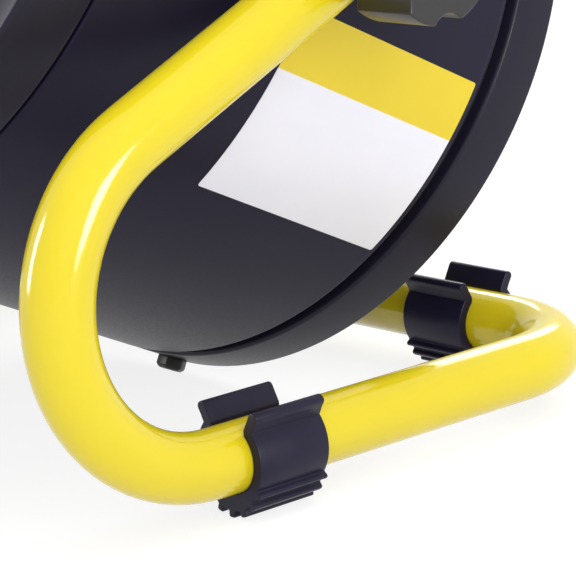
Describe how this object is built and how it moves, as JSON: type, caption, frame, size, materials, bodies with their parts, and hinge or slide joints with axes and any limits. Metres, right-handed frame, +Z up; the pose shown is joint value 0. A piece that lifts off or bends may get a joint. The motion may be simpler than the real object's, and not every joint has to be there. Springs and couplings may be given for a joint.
{
  "type": "ceramic fan heater",
  "caption": "Drum-shaped ceramic fan heater that tilts between the arms of a bent steel tube stand with clip-on feet and a gripped top bar.",
  "frame": {"origin": "centre of the footprint, on the floor", "axes": "+Z up, hot air leaves towards -Y and upwards, the stand's arms are at +X and -X"},
  "size_m": [0.31, 0.2579, 0.3277],
  "materials": {
    "frame_paint": "gloss yellow powder coat",
    "clip_plastic": "matte blue-black nylon",
    "grip_rubber": "soft matte black",
    "joiner_steel": "plain drawn steel",
    "drum_paint": "satin black with a blue-violet tint",
    "ring_paint": "satin black",
    "bolt_black": "black oxide",
    "panel_plastic": "fine-textured black",
    "grille_paint": "semi-gloss black",
    "control_plastic": "black with pale pointer",
    "lens_amber": "translucent amber",
    "gland_plastic": "black nylon",
    "switch_plastic": "dark moulded plastic",
    "terminal_plastic": "ivory moulded plastic",
    "zinc_steel": "zinc-plated",
    "galvanised_sheet": "galvanised",
    "fan_plastic": "glass-filled black",
    "motor_steel": "pressed steel can",
    "element_frame_plastic": "brown heat-proof moulding",
    "ceramic": "off-white fired ceramic",
    "fin_aluminium": "bare corrugated strip",
    "washer_fibre": "red-brown fibre"
  },
  "bodies": {
    "frame": {"frame_tube_right": "frame_paint", "frame_tube_left": "frame_paint", "tube_joiners": "joiner_steel", "handle_grip": "grip_rubber", "foot_clip_front_right": "clip_plastic", "foot_clip_front_left": "clip_plastic", "foot_clip_rear_right": "clip_plastic", "foot_clip_rear_left": "clip_plastic"},
    "heater": {"drum_shell": "drum_paint", "rear_ring": "ring_paint", "front_ring": "ring_paint", "rear_ring_screws": "bolt_black", "front_ring_screws": "bolt_black", "rear_panel": "panel_plastic", "front_grille": "grille_paint", "thermostat": "switch_plastic", "mode_switch": "switch_plastic", "indicator_lens": "lens_amber", "cord_gland": "gland_plastic", "terminal_block": "terminal_plastic", "tip_over_switch": "switch_plastic", "fan_motor": "motor_steel", "motor_bracket": "galvanised_sheet", "motor_screws": "zinc_steel", "fan_shroud": "galvanised_sheet", "element_baffle": "galvanised_sheet", "element_frame": "element_frame_plastic", "element_screws": "zinc_steel", "ceramic_bars": "ceramic", "heating_fins": "fin_aluminium", "element_terminals": "zinc_steel", "thermal_cutout": "zinc_steel", "heat_liner": "galvanised_sheet", "pivot_brackets": "galvanised_sheet", "weld_nuts": "zinc_steel", "friction_washers": "washer_fibre"},
    "fan": {"fan": "fan_plastic", "motor_shaft": "zinc_steel", "fan_nut": "zinc_steel"},
    "thermostat_dial": {"thermostat_knob": "control_plastic", "thermostat_shaft": "zinc_steel"},
    "mode_dial": {"mode_knob": "control_plastic", "mode_shaft": "zinc_steel"},
    "tilt_knob_right": {"tilt_knob_right": "control_plastic", "tilt_stud_right": "zinc_steel"},
    "tilt_knob_left": {"tilt_knob_left": "control_plastic", "tilt_stud_left": "zinc_steel"}
  },
  "joints": [
    {"name": "tilt", "type": "hinge", "parent": "frame", "child": "heater", "pos_m": [0, -0.0021, 0.1442], "axis": [1, 0, 0], "range_deg": [0, 40]},
    {"name": "fan_spin", "type": "hinge", "parent": "heater", "child": "fan", "pos_m": [0, -0.0021, 0.1442], "axis": [0, -0.9048, 0.4258], "continuous": true},
    {"name": "thermostat_turn", "type": "hinge", "parent": "heater", "child": "thermostat_dial", "pos_m": [-0.034, 0.10725, 0.16567], "axis": [0, -0.9048, 0.4258], "range_deg": [0, 270]},
    {"name": "mode_turn", "type": "hinge", "parent": "heater", "child": "mode_dial", "pos_m": [0.034, 0.10725, 0.16567], "axis": [0, -0.9048, 0.4258], "range_deg": [0, 135]},
    {"name": "right_knob_turn", "type": "hinge", "parent": "heater", "child": "tilt_knob_right", "pos_m": [0.135, -0.0021, 0.1442], "axis": [1, 0, 0], "range_deg": [0, 300]},
    {"name": "left_knob_turn", "type": "hinge", "parent": "heater", "child": "tilt_knob_left", "pos_m": [-0.135, -0.0021, 0.1442], "axis": [-1, 0, 0], "range_deg": [0, 300]}
  ]
}
